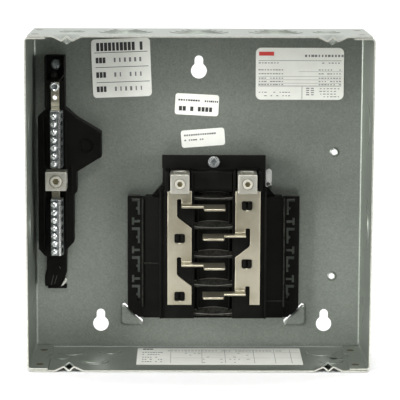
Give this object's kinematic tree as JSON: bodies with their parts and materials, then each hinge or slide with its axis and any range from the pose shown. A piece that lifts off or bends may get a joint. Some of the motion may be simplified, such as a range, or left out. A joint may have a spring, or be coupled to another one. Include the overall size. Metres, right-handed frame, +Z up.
{
  "type": "subpanel enclosure",
  "caption": "Open-front galvanised steel subpanel enclosure with a moulded bus carrier, plug-on stabs, main lugs, an insulated neutral assembly and keyhole wall mounting.",
  "frame": {"origin": "centre of the back wall's outer face, which bears on the building wall", "axes": "+X to the right seen from the front, +Y into the wall, +Z up"},
  "size_m": [0.2888, 0.0889, 0.2826],
  "materials": {
    "galvanised": "hot-dip galvanised sheet, soft spangle, semi-matt",
    "moulding": "black moulded thermoset, fine grain",
    "tinned_bar": "tin-plated bar, satin",
    "lug_metal": "extruded aluminium, tumbled",
    "zinc": "zinc-plated steel",
    "nylon": "natural nylon",
    "label": null
  },
  "bodies": {
    "box": {"enclosure_pan": "galvanised", "top_end_wall": "galvanised", "bottom_end_wall": "galvanised", "interior_base": "moulding", "base_screw": "zinc", "left_bus_bar": "tinned_bar", "right_bus_bar": "tinned_bar", "left_main_lug": "lug_metal", "right_main_lug": "lug_metal", "neutral_insulator": "moulding", "insulator_screw": "zinc", "neutral_rivet": "zinc", "neutral_strap": "tinned_bar", "upper_terminal_bar": "lug_metal", "lower_terminal_bar": "lug_metal", "neutral_lug": "lug_metal", "locating_tag": "nylon", "circuit_label": "label", "rating_label": "label", "caution_label": "label", "inspection_label": "label", "directory_label": "label"},
    "left_lug_set_screw_body": {"left_lug_set_screw": "lug_metal"},
    "right_lug_set_screw_body": {"right_lug_set_screw": "lug_metal"},
    "neutral_lug_set_screw_body": {"neutral_lug_set_screw": "lug_metal"},
    "terminal_screw_01_body": {"terminal_screw_01": "zinc"},
    "terminal_screw_02_body": {"terminal_screw_02": "zinc"},
    "terminal_screw_03_body": {"terminal_screw_03": "zinc"},
    "terminal_screw_04_body": {"terminal_screw_04": "zinc"},
    "terminal_screw_05_body": {"terminal_screw_05": "zinc"},
    "terminal_screw_06_body": {"terminal_screw_06": "zinc"},
    "terminal_screw_07_body": {"terminal_screw_07": "zinc"},
    "terminal_screw_08_body": {"terminal_screw_08": "zinc"},
    "terminal_screw_09_body": {"terminal_screw_09": "zinc"},
    "terminal_screw_10_body": {"terminal_screw_10": "zinc"},
    "terminal_screw_11_body": {"terminal_screw_11": "zinc"},
    "terminal_screw_12_body": {"terminal_screw_12": "zinc"},
    "terminal_screw_13_body": {"terminal_screw_13": "zinc"},
    "terminal_screw_14_body": {"terminal_screw_14": "zinc"}
  },
  "joints": [
    {"name": "left_lug_screw_travel", "type": "slide", "parent": "box", "child": "left_lug_set_screw_body", "axis": [0, 1, 0], "range_m": [-0.004, 0.012]},
    {"name": "right_lug_screw_travel", "type": "slide", "parent": "box", "child": "right_lug_set_screw_body", "axis": [0, 1, 0], "range_m": [-0.004, 0.012]},
    {"name": "neutral_lug_screw_travel", "type": "slide", "parent": "box", "child": "neutral_lug_set_screw_body", "axis": [0, 1, 0], "range_m": [-0.004, 0.009]},
    {"name": "terminal_travel_01", "type": "slide", "parent": "box", "child": "terminal_screw_01_body", "axis": [0, 1, 0], "range_m": [-0.0015, 0.0026]},
    {"name": "terminal_travel_02", "type": "slide", "parent": "box", "child": "terminal_screw_02_body", "axis": [0, 1, 0], "range_m": [-0.0015, 0.0026]},
    {"name": "terminal_travel_03", "type": "slide", "parent": "box", "child": "terminal_screw_03_body", "axis": [0, 1, 0], "range_m": [-0.0015, 0.0026]},
    {"name": "terminal_travel_04", "type": "slide", "parent": "box", "child": "terminal_screw_04_body", "axis": [0, 1, 0], "range_m": [-0.0015, 0.0026]},
    {"name": "terminal_travel_05", "type": "slide", "parent": "box", "child": "terminal_screw_05_body", "axis": [0, 1, 0], "range_m": [-0.0015, 0.0026]},
    {"name": "terminal_travel_06", "type": "slide", "parent": "box", "child": "terminal_screw_06_body", "axis": [0, 1, 0], "range_m": [-0.0015, 0.0026]},
    {"name": "terminal_travel_07", "type": "slide", "parent": "box", "child": "terminal_screw_07_body", "axis": [0, 1, 0], "range_m": [-0.0015, 0.0026]},
    {"name": "terminal_travel_08", "type": "slide", "parent": "box", "child": "terminal_screw_08_body", "axis": [0, 1, 0], "range_m": [-0.0015, 0.0026]},
    {"name": "terminal_travel_09", "type": "slide", "parent": "box", "child": "terminal_screw_09_body", "axis": [0, 1, 0], "range_m": [-0.0015, 0.0026]},
    {"name": "terminal_travel_10", "type": "slide", "parent": "box", "child": "terminal_screw_10_body", "axis": [0, 1, 0], "range_m": [-0.0015, 0.0026]},
    {"name": "terminal_travel_11", "type": "slide", "parent": "box", "child": "terminal_screw_11_body", "axis": [0, 1, 0], "range_m": [-0.0015, 0.0026]},
    {"name": "terminal_travel_12", "type": "slide", "parent": "box", "child": "terminal_screw_12_body", "axis": [0, 1, 0], "range_m": [-0.0015, 0.0026]},
    {"name": "terminal_travel_13", "type": "slide", "parent": "box", "child": "terminal_screw_13_body", "axis": [0, 1, 0], "range_m": [-0.0015, 0.0026]},
    {"name": "terminal_travel_14", "type": "slide", "parent": "box", "child": "terminal_screw_14_body", "axis": [0, 1, 0], "range_m": [-0.0015, 0.0026]}
  ]
}
